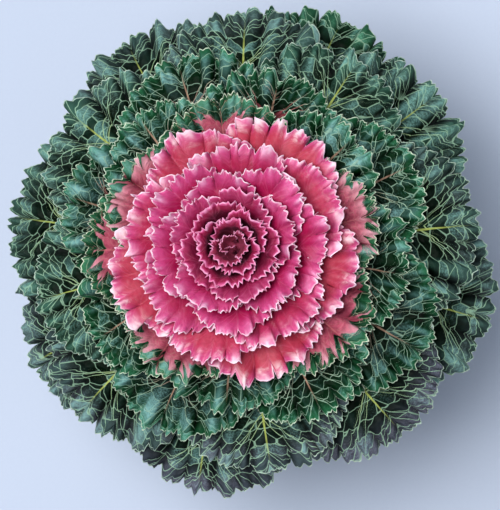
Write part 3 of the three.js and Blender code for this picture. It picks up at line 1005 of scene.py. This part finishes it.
class LeafPaint:
    """Paints one side of one kind of leaf, coat over coat.

    The coats read what each leaf's mesh keeps: out, from 0 at the blade's foot to 1 at its margin, edge, the
    distance from the margin, ring, how far out in the head the leaf's tip is, pitch, the distance between
    side veins, and crest, which is high on the crests of the folds.
    """

    # Tints, which darken or turn what they cover.
    # The first tint greens the leaves on the side away from the painted sheen.
    GREENER = (0.8, 1.22, 0.74)
    MOTTLED = (0.66, 0.38, 0.52)
    SHADED = (0.1, 0.06, 0.1)
    # The next tint is painted shade on the darker meshes of the net.
    FACET_SHADE = (0.19, 0.32, 0.26)
    # The next tint is painted shade in the hollows of the rose flush.
    FLUSH_SHADE = (0.42, 0.27, 0.33)
    DULL = (0.42, 0.46, 0.44)

    # Colours that only some leaves of a kind have.
    # The next colour is painted shade in the hollows of the painted sheen.
    SHEEN_HOLLOW_SHADE = linear(48, 44, 54)
    # The next two colours are painted highlights on the rose leaves' crests.
    INNER_HIGHLIGHT = linear(246, 176, 212)
    OUTER_HIGHLIGHT = linear(254, 224, 228)
    # The next colour is pale patches near the margin: the leaves' own paleness, with painted highlight on the
    # crests.
    PALE_PATCH_HIGHLIGHT = linear(253, 228, 228)
    # The next colour is painted shade, dark red, in the deep gaps between the heart's leaves.
    THROAT_SHADE = linear(138, 16, 60)
    CORE = linear(158, 62, 88)
    INNER_EDGE = linear(246, 166, 204)

    NET_COLUMNS = 2.4  # meshes of the net of finest veins between two side veins
    NET_ROWS = 17.0  # meshes of it from the foot of the blade to its margin
    NET_UNEVEN = 0.8
    MESH_SIZE = 0.42  # a mesh's size as a share of the distance between side veins
    BRANCHES = ((0.4, 0.4), (0.58, -0.4))  # where a side vein branches, and how far to which side

    def __init__(self, finish: LeafFinish, under: bool) -> None:
        """Starts the material.

        Args:
            finish: The look.
            under: Whether it is for the leaf's underside, which is paler and dull.
        """
        self.finish = finish
        self.under = under
        self.shader = shader = Shader(finish.name + ("_under" if under else ""))
        self.out, self.edge, self.ring, self.vein, self.pitch, self.leaf = (
            shader.number(name) for name in ("out", "edge", "ring", "vein", "pitch", "leaf"))
        self.flat = shader.vector("flat")
        self.cloud = shader.noise(self.flat, 0.09)
        self.luck = shader.dice("1D", {"W": self.leaf})
        self.height = shader.number("crest") + (self.cloud - 0.5) * 0.8
        rows = self.out**0.6 * self.NET_ROWS
        self.mesh = shader.combine(self.vein * self.NET_COLUMNS, rows, self.leaf * 7.0 + 0.5)
        walls = shader.cells(self.mesh, self.NET_UNEVEN, "DISTANCE_TO_EDGE")
        self.net = Value(shader, walls.outputs["Distance"]) * self.pitch * self.MESH_SIZE
        self.off_vein = self._vein_distance()
        self.tone: Any = finish.lamina

    def _coat(self, share: Any, colour: Any) -> None:
        """Covers a share of what is there with a colour."""
        self.tone = self.shader.mix(share, self.tone, colour)

    def _tint(self, share: Any, colour: Colour) -> None:
        """Darkens or turns a share of what is there."""
        self.tone = self.shader.mix(share, self.tone, colour, "MULTIPLY")

    def _vein_distance(self) -> Value:
        """How far the nearest side vein or one of its two branches is, in millimetres."""
        inside = self.vein.fract() - 0.5
        side = self.shader.number("across").ramp(-0.01, 0.01) * 40.0
        number = self.vein - self.vein.fract() + side
        nearest = abs(inside)
        for draw, (start, reach) in enumerate(self.BRANCHES):
            seat = self.shader.combine(number, self.leaf, draw + 0.5)
            fork = self.shader.dice("3D", {"Vector": seat}) * 0.22 + start
            spread = (self.out - fork) / (1.0 - start) * reach
            branch = abs(inside - (spread.most(0.0) if reach > 0 else spread.least(0.0)))
            nearest = nearest.least(branch * 1.25)
        return nearest * self.pitch

    def _ground(self) -> None:
        """The blade, with painted shade in its hollows and the sheen of its glaucous coat painted on the
        crests, more on some leaves.
        """
        self.tone = self.shader.mix(self.height.ramp(-0.7, 0.15), self.finish.painted_shade, self.finish.lamina)
        sheen = self.height.ramp(0.05, 0.75) * (self.luck * 0.5 + 0.5)
        self._coat(sheen * self.finish.waxy, self.finish.bloom_sheen)

    def _age(self) -> Any:
        """Greens the leaves with little painted sheen, and paints the outermost towards -Y a purple-grey
        sheen from their margins in, with painted shade in its hollows.

        Returns:
            The colour of the band along the margin.
        """
        finish = self.finish
        if not finish.aged:
            return finish.margin
        sheen_share = self.shader.number("age")
        self._tint((1.0 - sheen_share) * 0.7, self.GREENER)
        age = self.ring.ramp(128.0, 150.0) * sheen_share
        sheen_and_shade = self.shader.mix(self.height.ramp(-0.6, 0.6), self.SHEEN_HOLLOW_SHADE, finish.aged)
        self._coat(age * self.edge.ramp(36.0, 8.0) * 0.9, sheen_and_shade)
        return self.shader.mix(age, finish.margin, finish.aged)

    def _band(self, margin: Any) -> None:
        """The band along the margin, paler on the crests as painted highlight, and the painted shadow where
        the next leaf covers the blade.
        """
        finish = self.finish
        lit = self.height.ramp(-0.5, 0.6) * (1.0 - finish.even) + finish.even
        self._coat(self.edge.ramp(finish.band, 0.0) * lit, margin)
        if finish.shade:
            self._coat(self.edge.ramp(6.0, 24.0) * finish.shade, finish.painted_shade)

    def _rose(self) -> Any:
        """The rose leaves' tones: warm outside, painted highlights on the crests, and painted shade, dark
        red, towards the heart.

        Returns:
            The colour of the line round the leaf.
        """
        shader, height, edge, ring = self.shader, self.height, self.edge, self.ring
        outer = ring.ramp(58.0, 90.0)
        self._coat(outer * 0.8 * edge.ramp(0.0, 9.0), self.finish.warm)
        # painted highlight in patches on the crests near the margin
        blotch = shader.noise(self.flat, 0.16, 2.0).ramp(0.42, 0.6) * 0.75 + 0.3
        highlight = shader.mix(outer, self.INNER_HIGHLIGHT, self.OUTER_HIGHLIGHT)
        self._coat(height.ramp(0.0, 0.75) * edge.ramp(9.0, 1.0) * blotch, highlight)
        self._tint(shader.noise(self.flat, 0.55, 4.0).ramp(0.6, 0.4) * 0.32, self.MOTTLED)
        # pale patches near the outer rose leaves' margins, their own paleness brightened on the crests as
        # painted highlight
        pale = shader.noise(self.flat, 0.11, 4.0, 0.65).ramp(0.5, 0.66) * edge.ramp(12.0, 2.0)
        self._coat(pale * height.ramp(-0.4, 0.4) * outer * 0.85, self.PALE_PATCH_HIGHLIGHT)
        # painted shade: dark red away from the inner leaves' margins, and darker still towards the heart
        self._coat(ring.ramp(52.0, 26.0) * edge.ramp(0.4, 2.2), self.THROAT_SHADE)
        self._tint(ring.ramp(42.0, 22.0) * edge.ramp(1.8, 7.0), self.SHADED)
        self._coat(ring.ramp(18.0, 8.0) * 0.7, self.CORE)
        line = shader.mix(ring.ramp(50.0, 26.0), self.finish.edge, self.INNER_EDGE)
        # the teeth's pale tips, brighter on the crests as painted highlight
        tips = shader.number("tip").ramp(0.05, 0.55) * (height.ramp(-0.6, 0.4) * 0.6 + 0.4)
        self._coat(tips * 0.95, line)
        return line

    def _facets(self) -> None:
        """The meshes between the finest veins, each a little lighter or darker than the next: painted light
        and shade for their tilts, with painted sheen on the crests.
        """
        shader, finish = self.shader, self.finish
        colour = shader.cells(self.mesh, self.NET_UNEVEN, "F1").outputs["Color"]
        parts = shader.node("ShaderNodeSeparateColor", {}, {0: colour})
        facet = Value(shader, parts.outputs[0])
        fine = shader.noise(self.flat, 0.9, 3.0, 0.6).ramp(0.3, 0.7)
        dark = (facet * 0.75 + fine * 0.25).ramp(0.84, 0.26)
        self._tint(dark * finish.facets, self.FACET_SHADE)
        light = (facet * 0.72 + fine * 0.28).ramp(0.55, 0.95) * self.height.ramp(-0.5, 0.5)
        self._coat(light * finish.facets * 0.58, finish.bloom_sheen)

    def _flush(self, vein_tone: Any) -> tuple[Value, Any]:
        """The rose colour that runs out along the veins, with painted shade in its hollows and where the next
        leaf covers it.

        Args:
            vein_tone: The colour of the veins where there is none.

        Returns:
            How plainly the veins show, and their colour.
        """
        shader, finish, height, edge = self.shader, self.finish, self.height, self.edge
        star = self.off_vein.ramp(0.3, 2.6)
        reach = shader.number("flush") + (self.cloud - 0.5) * 0.2 - star * 0.1
        flush = (reach - self.out).ramp(-0.008, 0.012)
        # painted shade: the flush darkened in its hollows and where the next leaf covers it
        deep = shader.mix(1.0, finish.flushed, self.FLUSH_SHADE, "MULTIPLY")
        rosy = shader.mix(height.ramp(-0.7, 0.4), deep, finish.flushed)
        rosy = shader.mix(shader.noise(self.flat, 0.45, 4.0).ramp(0.58, 0.38) * 0.5, rosy, deep)
        rosy = shader.mix(edge.ramp(9.0, 26.0) * 0.4, rosy, deep)
        rosy = shader.mix(edge.ramp(15.0, 1.0) * height.ramp(-0.6, 0.3) * 0.85, rosy, finish.flushed_rim)
        self._coat(flush, rosy)
        vein_tone = shader.mix((reach + 0.22 - self.out).ramp(0.0, 0.22), vein_tone, finish.veins_flushed)
        return 1.0 - flush * 0.75, vein_tone

    def _veins(self) -> None:
        """The side veins, the net between them and the midrib."""
        shader, finish, out = self.shader, self.finish, self.out
        shown: Any = 1.0
        vein_tone = shader.mix(out.ramp(0.95, 0.5) * 0.75, finish.vein, finish.midrib)
        if finish.flushed:
            shown, vein_tone = self._flush(vein_tone)
        width = ((1.5 - out * 0.85) * finish.vein_width).least(self.pitch * 0.14)
        line = (self.off_vein / width).ramp(0.65, 0.4)
        self._coat(line * shown * finish.vein_strength, vein_tone)
        thin = (self.net / (self.pitch * 0.08).least(finish.vein_width)).ramp(0.6, 0.2)
        self._coat(thin * (1.0 - line) * shown * out.ramp(0.15, 0.45) * finish.net_strength, finish.vein)
        half = (1.0 - out) * 1.5 + 0.25
        midrib = (abs(shader.number("across")) / half).ramp(1.15, 0.8) * out.ramp(0.98, 0.7)
        self._coat(midrib * finish.vein_strength, finish.midrib)

    def _rim(self, line: Any) -> None:
        """The thin line round the leaf, broken into beads on the rose leaves, where it is also brighter on
        the crests as painted highlight.
        """
        rim = (self.edge / self.finish.edge_width).ramp(1.3, 0.7)
        if self.finish.warm:
            beads = self.shader.noise(self.flat, 0.24, 2.0).ramp(0.42, 0.56)
            rim = rim * (self.height.ramp(-0.5, 0.3) * 0.3 + beads * 0.6 + 0.15)
        self._coat(rim, line)

    def paint(self) -> bpy.types.Material:
        """Lays all the coats.

        Returns:
            The material.
        """
        finish, shader = self.finish, self.shader
        self._ground()
        self._band(self._age())
        line = self._rose() if finish.warm else finish.edge
        if finish.facets:
            self._facets()
        self._veins()
        self._rim(line)
        self._tint(self.luck * finish.vary, self.DULL)
        if self.under:
            self._coat(0.4, finish.back)
        pillow = self.off_vein.least(self.net * 0.8).ramp(0.0, 3.2)
        relief = pillow + shader.noise(self.flat, 1.3, 4.0) * 0.16
        return shader.surface({
            "Base Color": self.tone,
            "Roughness": finish.roughness + (0.2 if self.under else 0.0),
            "Normal": shader.bump(relief, finish.pillow * (-1 if self.under else 1)),
            "Subsurface Weight": 0.1,
            "Subsurface Radius": (1.0, 0.7, 0.5),
            "Subsurface Scale": 0.8 * MM,
            "Specular IOR Level": finish.gloss,
        })


@dataclass(frozen=True)
class Clay:
    """Terracotta-coloured plastic with a fine grain, rubbed pale at the rim and dusty at the foot."""

    body: Colour = linear(158, 88, 58)
    rubbed: Colour = linear(186, 124, 94)
    dust: Colour = linear(108, 84, 66)
    rim: tuple[float, float] = (122.0, 128.0)  # the heights between which it is rubbed
    foot: tuple[float, float] = (26.0, 0.0)  # and between which it is dusty

    def material(self) -> bpy.types.Material:
        """Builds the material."""
        shader = Shader("pot_plastic")
        place, height = shader.place(), shader.height()
        cloud = shader.noise(place, 28.0, 5.0)
        grain = shader.noise(place, 900.0, 2.0)
        tone = shader.mix(cloud.ramp(0.35, 0.75) * 0.35, self.body, self.rubbed)
        tone = shader.mix(height.ramp(*self.rim) * cloud.ramp(0.35, 0.6) * 0.6, tone, self.rubbed)
        tone = shader.mix(height.ramp(*self.foot) * cloud.ramp(0.3, 0.7) * 0.8, tone, self.dust)
        return shader.surface({
            "Base Color": tone,
            "Roughness": 0.5 + cloud * 0.25,
            "Normal": shader.bump(grain, 0.06),
            "Specular IOR Level": 0.4,
        })


@dataclass(frozen=True)
class Earth:
    """Peaty compost, damp and dark, or the crumbs and the white grains in it."""

    name: str
    deep: Colour
    light: Colour

    def material(self) -> bpy.types.Material:
        """Builds the material."""
        shader = Shader(self.name)
        place = shader.place()
        cloud = shader.noise(place, 220.0, 5.0, 0.65)
        fibre = shader.noise(place, 900.0, 3.0, 0.7)
        return shader.surface({
            "Base Color": shader.mix(cloud.ramp(0.3, 0.7), self.deep, self.light),
            "Roughness": 0.95,
            "Normal": shader.bump(fibre, 0.5),
            "Specular IOR Level": 0.2,
        })


@dataclass(frozen=True)
class Bark:
    """The stem's skin: pale green, brown and corky towards the foot, dark in the leaf scars."""

    young: Colour = linear(142, 150, 104)
    cork: Colour = linear(122, 100, 72)
    scar: Colour = linear(88, 66, 48)
    corky: tuple[float, float] = (160.0, 130.0)  # the heights between which it turns to cork

    def material(self) -> bpy.types.Material:
        """Builds the material."""
        shader = Shader("stem_skin")
        place, height = shader.place(), shader.height()
        streaks = shader.node("ShaderNodeMapping", {}, {"Vector": place, "Scale": (1.0, 1.0, 0.25)})
        cloud = shader.noise(streaks.outputs[0], 300.0, 4.0)
        tone = shader.mix((height + cloud * 30.0).ramp(*self.corky), self.young, self.cork)
        tone = shader.mix(shader.number("scar"), tone, self.scar)
        return shader.surface({
            "Base Color": tone,
            "Roughness": 0.75,
            "Normal": shader.bump(cloud, 0.4),
            "Specular IOR Level": 0.3,
        })


# ---------------------------------------------------------------- pot, soil, stem and growing tip


def fine_noise(places: Array, size: float) -> Array:
    """A cloudy number from about -1 to 1 for each place.

    Args:
        places: Rows of x, y, z.
        size: The size of the clouds in the same units.

    Returns:
        One number a row.
    """
    return np.array([noise.noise(Vector(place) / size) for place in places])


def turned(name: str, profile: list[tuple[float, float]], steps: int) -> bpy.types.Object:
    """Turns a profile round the upright axis.

    Args:
        name: The name of the new object.
        profile: Radius and height of each point, in millimetres, from axis to axis.
        steps: How many steps make the round.

    Returns:
        A closed solid.
    """
    mesh = bpy.data.meshes.new(name)
    points = [(radius * MM, 0.0, height * MM) for radius, height in profile]
    mesh.from_pydata(points, [(i, i + 1) for i in range(len(points) - 1)], [])
    obj = add_object(name, mesh)
    apply_modifier(
        obj, "SCREW", angle=2 * math.pi, steps=steps, render_steps=steps, axis="Z",
        use_merge_vertices=True, merge_threshold=1e-6)
    bpy.ops.object.mode_set(mode="EDIT")
    bpy.ops.mesh.select_all(action="SELECT")
    bpy.ops.mesh.normals_make_consistent(inside=False)
    bpy.ops.object.mode_set(mode="OBJECT")
    return obj


def join(name: str, parts: list[bpy.types.Object]) -> bpy.types.Object:
    """Joins the parts in one object of that name."""
    make_active(parts[0])
    for part in parts:
        part.select_set(True)
    bpy.ops.object.join()
    joined = bpy.context.active_object
    joined.name = name
    joined.data.name = name
    return joined


@dataclass
class Pot:
    """The nursery pot: a tapered wall with a rolled band at its rim and drain holes in its floor."""

    height: float = 128.0
    foot: float = 57.0
    top: float = 75.0
    band: float = 80.0
    band_height: float = 13.0
    wall: float = 1.6
    holes: int = 6
    hole_radius: float = 5.0
    hole_ring: float = 40.0
    sharpest: float = 35.0  # edges sharper than this angle aren't shaded smooth

    def _profile(self) -> list[tuple[float, float]]:
        """The wall's section from the middle of the underside to the middle of the floor inside."""
        foot, band, high = self.foot, self.band, self.height
        under = high - self.band_height
        inner = self.top - self.wall
        rounded_foot = [(foot - 3.0, 0.0), (foot - 1.0, 0.0), (foot - 0.3, 0.4), (foot, 1.5)]
        wall = [(lerp(foot, self.top, t), lerp(1.5, under, t)) for t in (0.04, 0.5, 0.98)]
        ledge = [(self.top, under), (band - 1.0, under), (band - 0.3, under + 0.4), (band, under + 1.4)]
        groove = [(band, under + 4.0), (band - 0.5, under + 4.4), (band - 0.5, under + 5.2),
                  (band, under + 5.6)]
        lip = [(band, high - 1.2), (band - 0.4, high - 0.4), (band - 1.2, high), (inner + 1.2, high),
               (inner + 0.3, high - 0.6), (inner, high - 3.0)]
        floor = [(foot - 1.4, 2 * self.wall), (foot - 3.2, self.wall), (0.0, self.wall)]
        return [(0.0, 0.0), *rounded_foot, *wall, *ledge, *groove, *lip, *floor]

    def build(self) -> bpy.types.Object:
        """Models and dresses the pot."""
        pot = turned("fine_pot", self._profile(), 128)
        for i in range(self.holes):
            angle = 2 * math.pi * i / self.holes
            middle = (self.hole_ring * math.cos(angle) * MM, self.hole_ring * math.sin(angle) * MM, 0.0)
            bpy.ops.mesh.primitive_cylinder_add(
                vertices=32, radius=self.hole_radius * MM, depth=6 * self.wall * MM, location=middle)
            drill = bpy.context.active_object
            apply_modifier(pot, "BOOLEAN", operation="DIFFERENCE", solver="EXACT", object=drill)
            bpy.data.objects.remove(drill)
        make_active(pot)
        bpy.ops.object.shade_smooth_by_angle(angle=math.radians(self.sharpest))
        pot.data.materials.append(Clay().material())
        return pot


@dataclass(frozen=True)
class Litter:
    """Lumps that lie on the soil, all of one kind."""

    name: str
    count: int
    sizes: tuple[float, float]  # the least and the greatest radius
    seed: int  # where their random draws start
    look: Earth


@dataclass
class Soil:
    """The compost in the pot: a lumpy top with crumbs and white grains lying on it."""

    top: float = 114.0
    rise: float = 3.0
    wide: float = 72.2
    hole: float = 10.6
    depth: float = 56.0
    floor: float = 1.9
    foot: float = 53.5
    flat_lump: tuple[float, float, float] = (1.0, 0.85, 0.7)  # a lump's length, width and height
    compost: Earth = Earth("compost", linear(26, 17, 12), linear(70, 48, 33))
    litter: tuple[Litter, ...] = (
        Litter("crumb", 420, (0.6, 2.2), 1000, Earth("bark_crumb", linear(40, 26, 18), linear(98, 68, 46))),
        Litter("grain", 70, (0.6, 1.5), 3000, Earth("perlite", linear(190, 186, 178), linear(232, 229, 222))),
    )

    def _height(self, radius: Any) -> Any:
        """The smooth height of the top at a radius."""
        return self.top + self.rise * (1 - ((radius - self.hole) / (self.wide - self.hole)) ** 2)

    def _lump(self, points: Array) -> Array:
        """How much higher than smooth the top is at each place."""
        return 1.3 * fine_noise(points, 11.0) + 0.8 * fine_noise(points, 4.0) + 0.3

    def _body(self) -> bpy.types.Object:
        """The bulk of the soil."""
        bottom = [(0.0, self.floor), (self.foot, self.floor), (self.foot + 1.6, self.floor + 1.6)]
        rings = [(r, float(self._height(r))) for r in np.linspace(self.wide, self.hole, 36)]
        hole = [(self.hole, self.top - self.depth), (0.0, self.top - self.depth)]
        body = turned("fine_soil", [*bottom, *rings, *hole], 120)
        points = read_points(body.data) / MM
        radius = np.hypot(points[:, 0], points[:, 1])
        loose = (points[:, 2] > self.top - 0.5) & (radius > self.hole + 0.5) & (radius < self.wide - 0.8)
        points[loose, 2] += self._lump(points[loose] * [1, 1, 0])
        write_points(body.data, points)
        shade_smooth(body)
        body.data.materials.append(self.compost.material())
        return body

    def _scatter(self, litter: Litter) -> list[bpy.types.Object]:
        """Lays copies of one lump over the top."""
        bpy.ops.mesh.primitive_ico_sphere_add(subdivisions=2, radius=1.0)
        lump = bpy.context.active_object
        look = litter.look.material()
        shape = read_points(lump.data)
        shape *= (1 + 0.45 * fine_noise(shape + litter.seed, 0.9))[:, None]
        lumps = []
        for i in range(litter.count):
            draws = [chance(litter.seed + i, n) for n in range(7)]
            radius = lerp(self.hole + 3, self.wide - 4, math.sqrt(draws[0]))
            angle = 2 * math.pi * draws[1]
            size = lerp(*litter.sizes, draws[2] ** 2)
            middle = np.array([radius * math.cos(angle), radius * math.sin(angle), 0.0])
            axis = Vector(draws[4:7]) - Vector((0.5, 0.5, 0.2))
            turn = np.array(Matrix.Rotation(ROUND * draws[3], 3, axis))
            middle[2] = self._height(radius) + float(self._lump(middle[None])[0]) + 0.25 * size
            copy = add_object(f"{litter.name}_{i}", lump.data.copy())
            write_points(copy.data, (shape @ turn.T) * size * np.array(self.flat_lump) + middle)
            copy.data.materials.append(look)
            lumps.append(copy)
        bpy.data.objects.remove(lump)
        return lumps

    def build(self) -> bpy.types.Object:
        """Models and dresses the soil."""
        parts = [self._body()]
        for litter in self.litter:
            parts += self._scatter(litter)
        return join("fine_soil", parts)


@dataclass
class Stem:
    """The stem with its tap root: bare and scarred at the foot, slim among the leaves."""

    growth: Growth
    soil_top: float = 114.0
    outline: tuple[tuple[float, float], ...] = (  # height and radius
        (60.0, 0.0), (61.0, 2.0), (84.0, 7.0), (106.0, 10.0), (122.0, 10.2), (136.0, 12.4), (179.0, 8.5),
        (210.0, 5.5), (211.6, 5.3))
    scars: int = 14
    first_scar: float = 135.5
    scar_step: float = 1.5
    scar_wide: float = 5.0
    scar_high: float = 2.6
    scar_deep: float = 0.9
    ledge: float = 1.6  # how far the leaf's old foot stands out round its scar
    ledge_wide: float = 6.5
    core: float = 0.5  # the radius inside which nothing is moved

    def _scar(self, points: Array, radius: Array) -> tuple[Array, Array]:
        """How plain the leaf scars are at each point, from 0 to 1, and how far their ledges stand out."""
        angle = np.arctan2(points[:, 1], points[:, 0])
        scar = np.zeros(len(points))
        swell = np.zeros(len(points))
        for n in range(self.scars):
            middle = math.radians(self.growth.first - n * self.growth.golden)
            across = ((angle - middle + math.pi) % (2 * math.pi) - math.pi) * radius
            down = (points[:, 2] - (self.first_scar - self.scar_step * n)) / self.scar_high
            scar = np.maximum(scar, np.exp(-((across / self.scar_wide) ** 4) - down**4))
            ledge = np.exp(-((across / self.ledge_wide) ** 2) - (down / 1.6) ** 2)
            swell = np.maximum(swell, self.ledge * ledge)
        return scar, swell

    def build(self) -> bpy.types.Object:
        """Models and dresses the stem."""
        heights, radii = zip(*self.outline)
        levels = np.linspace(heights[0], heights[-1], 150)
        profile = [(float(np.interp(z, heights, radii)), float(z)) for z in levels]
        stem = turned("fine_stem", [*profile, (0.0, heights[-1])], 56)
        points = read_points(stem.data) / MM
        radius = np.hypot(points[:, 0], points[:, 1])
        scar, swell = self._scar(points, radius)
        bare = points[:, 2] > self.soil_top
        grown = radius + (swell - self.scar_deep * scar) * bare
        grown += 0.25 * fine_noise(points * [1, 1, 0.3], 2.5)
        share = np.where(radius > self.core, grown / np.maximum(radius, self.core), 1.0)
        points[:, :2] *= share[:, None]
        write_points(stem.data, points)
        write_numbers(stem.data, "scar", scar * bare)
        shade_smooth(stem)
        stem.data.materials.append(Bark().material())
        return stem


@dataclass
class GrowingTip:
    """The short core that the small leaves of the heart stand on."""

    foot: float = 211.9
    outline: tuple[tuple[float, float], ...] = (  # radius and height over its foot
        (0.0, 0.0), (4.6, 0.0), (5.0, 1.0), (5.0, 3.0), (4.2, 6.0), (3.4, 9.5), (2.3, 13.0), (1.2, 15.4),
        (0.0, 16.0))
    place: tuple[tuple[str, float], ...] = (("ring", 8.0), ("edge", 8.0), ("out", 0.4))  # read by its look

    def build(self, look: bpy.types.Material) -> bpy.types.Object:
        """Models the core and gives it the look of the leaves round it."""
        tip = turned("growing_tip", [(radius, self.foot + height) for radius, height in self.outline], 24)
        shade_smooth(tip)
        for label, value in self.place:
            write_numbers(tip.data, label, np.full(len(tip.data.vertices), value))
        tip.data.materials.append(look)
        return tip


# ---------------------------------------------------------------- the head


def settle(piece: bpy.types.Object, node: str, slot: str) -> None:
    """Puts a piece on the body in the place of a node of the frame, and hides that node."""
    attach(piece, BODY)
    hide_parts(node)


@dataclass
class Head:
    """All the leaves."""

    growth: Growth = field(default_factory=Growth)
    broad_blank: LeafBlank = field(default_factory=lambda: LeafBlank(36, 32))
    rose_blank: LeafBlank = field(default_factory=lambda: LeafBlank(28, 32))
    heart_blank: LeafBlank = field(default_factory=lambda: LeafBlank(24, 24, (0.3, 0.6)))

    def build(self) -> list[bpy.types.Object]:
        """Shapes, lays and dresses the leaves from the outermost to the innermost.

        Returns:
            The leaves, and the heart as the last.
        """
        nest = Nest()
        blanks = (self.broad_blank, self.rose_blank, self.heart_blank)
        broad, rose, small = (LeafCutter(blank.build(), nest) for blank in blanks)
        looks = {kind: [LeafPaint(finish, under).paint() for under in (False, True)]
                 for kind, finish in FINISHES.items()}
        counts = dict.fromkeys(Kind, 0)
        pieces: list[bpy.types.Object] = []
        heart = [GrowingTip().build(looks[Kind.ROSE][0])]
        for k in range(self.growth.leaves):
            plan = LeafPlan(self.growth, k)
            counts[plan.kind] += 1
            node = f"{plan.kind.node}_{counts[plan.kind]:02d}"
            cutter = small if plan.in_heart else rose if plan.kind is Kind.ROSE else broad
            leaf = cutter.cut(plan, f"fine_{node}")
            for look in looks[plan.kind]:
                leaf.data.materials.append(look)
            if plan.in_heart:
                heart.append(leaf)
            else:
                settle(leaf, node, plan.kind.node)
                pieces.append(leaf)
        pieces.append(join("fine_heart", heart))
        settle(pieces[-1], "heart", "heart")
        for done in (broad, rose, small):
            bpy.data.objects.remove(done.blank)
        return pieces


# ---------------------------------------------------------------- the studio


@dataclass(frozen=True)
class Lamp:
    """A soft square light, in metres and watts."""

    name: str
    place: tuple[float, float, float]
    aim: tuple[float, float, float]
    size: float
    power: float
    colour: Colour

    def hang(self) -> None:
        """Adds the light to the scene."""
        lamp = bpy.data.lights.new(self.name, "AREA")
        lamp.size = self.size
        lamp.energy = self.power
        lamp.color = self.colour
        obj = add_object(self.name, lamp)
        obj.location = self.place
        obj.rotation_euler = (Vector(self.aim) - Vector(self.place)).to_track_quat("-Z", "Y").to_euler()


@dataclass
class Studio:
    """The pale floor, the soft light and the camera. The camera's sizes are in millimetres and degrees."""

    view: float = 348.0  # the width that the camera sees
    distance: float = 1600.0
    lean: tuple[float, float] = (8.5, -2.5)  # towards +X and towards +Y
    aim: tuple[float, float, float] = (5.5, -4.4, 190.0)
    sensor: float = 36.0
    farthest: float = 20.0  # metres
    paper: Colour = linear(190, 200, 218)
    paper_fibre: Colour = linear(186, 196, 215)
    sky: Colour = (0.66, 0.82, 1.0)
    sky_strength: float = 0.3
    lamps: tuple[Lamp, ...] = (
        Lamp("key", (-0.5, 0.1, 2.3), (0.0, 0.0, 0.2), 1.4, 55.0, (1.0, 0.985, 0.97)),
        Lamp("fill", (-0.9, 1.4, 1.6), (0.0, 0.0, 0.2), 1.6, 12.0, (0.93, 0.96, 1.0)),
        Lamp("side", (1.6, -0.9, 1.0), (0.0, 0.0, 0.15), 1.4, 10.0, (1.0, 0.97, 0.94)),
    )

    def _floor(self) -> None:
        """Lays the floor, a plain pale paper."""
        make_active(None)
        bpy.ops.mesh.primitive_plane_add(size=12.0)
        floor = bpy.context.active_object
        floor.name = "floor"
        shader = Shader("floor")
        tone = shader.mix(shader.noise(shader.place(), 400.0), self.paper, self.paper_fibre)
        floor.data.materials.append(shader.surface({"Base Color": tone, "Roughness": 0.9}))

    def _camera(self) -> None:
        """Sets the camera over the head, leaning a little to one side."""
        data = bpy.data.cameras.new("camera")
        data.sensor_fit = "HORIZONTAL"
        data.sensor_width = self.sensor
        data.lens = self.sensor * self.distance / self.view
        data.clip_end = self.farthest
        obj = add_object("camera", data)
        way = Vector([math.sin(math.radians(angle)) for angle in self.lean] + [1.0]).normalized()
        obj.location = (Vector(self.aim) + way * self.distance) * MM
        right = Vector((0.0, 1.0, 0.0)).cross(way).normalized()
        obj.rotation_euler = Matrix((right, way.cross(right), way)).transposed().to_euler()
        bpy.context.scene.camera = obj

    def _sky(self) -> None:
        """Lights the scene from all round."""
        world = bpy.data.worlds.new("studio")
        world.use_nodes = True
        sky = world.node_tree.nodes["Background"]
        sky.inputs["Color"].default_value = (*self.sky, 1.0)
        sky.inputs["Strength"].default_value = self.sky_strength
        bpy.context.scene.world = world

    def build(self) -> None:
        """Sets up the floor, the lights, the sky and the camera."""
        self._floor()
        for lamp in self.lamps:
            lamp.hang()
        self._sky()
        self._camera()
        bpy.context.scene.view_settings.view_transform = "Standard"


def triangles(piece: bpy.types.Object) -> int:
    """How many triangles a piece has."""
    return sum(len(face.vertices) - 2 for face in piece.data.polygons)


def main() -> None:
    """Builds everything round the frame."""
    logging.basicConfig(level=logging.INFO, format="%(name)s: %(message)s")
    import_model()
    head = Head()
    pieces = head.build()
    for builder, node in ((Pot(), "pot"), (Soil(), "soil"), (Stem(head.growth), "stem")):
        piece = builder.build()
        settle(piece, node, node)
        pieces.append(piece)
    for piece in pieces:
        LOG.info("%s: %d triangles", piece.name, triangles(piece))
    LOG.info("all: %d triangles", sum(triangles(piece) for piece in pieces))
    Studio().build()


if __name__ == "__main__":
    main()
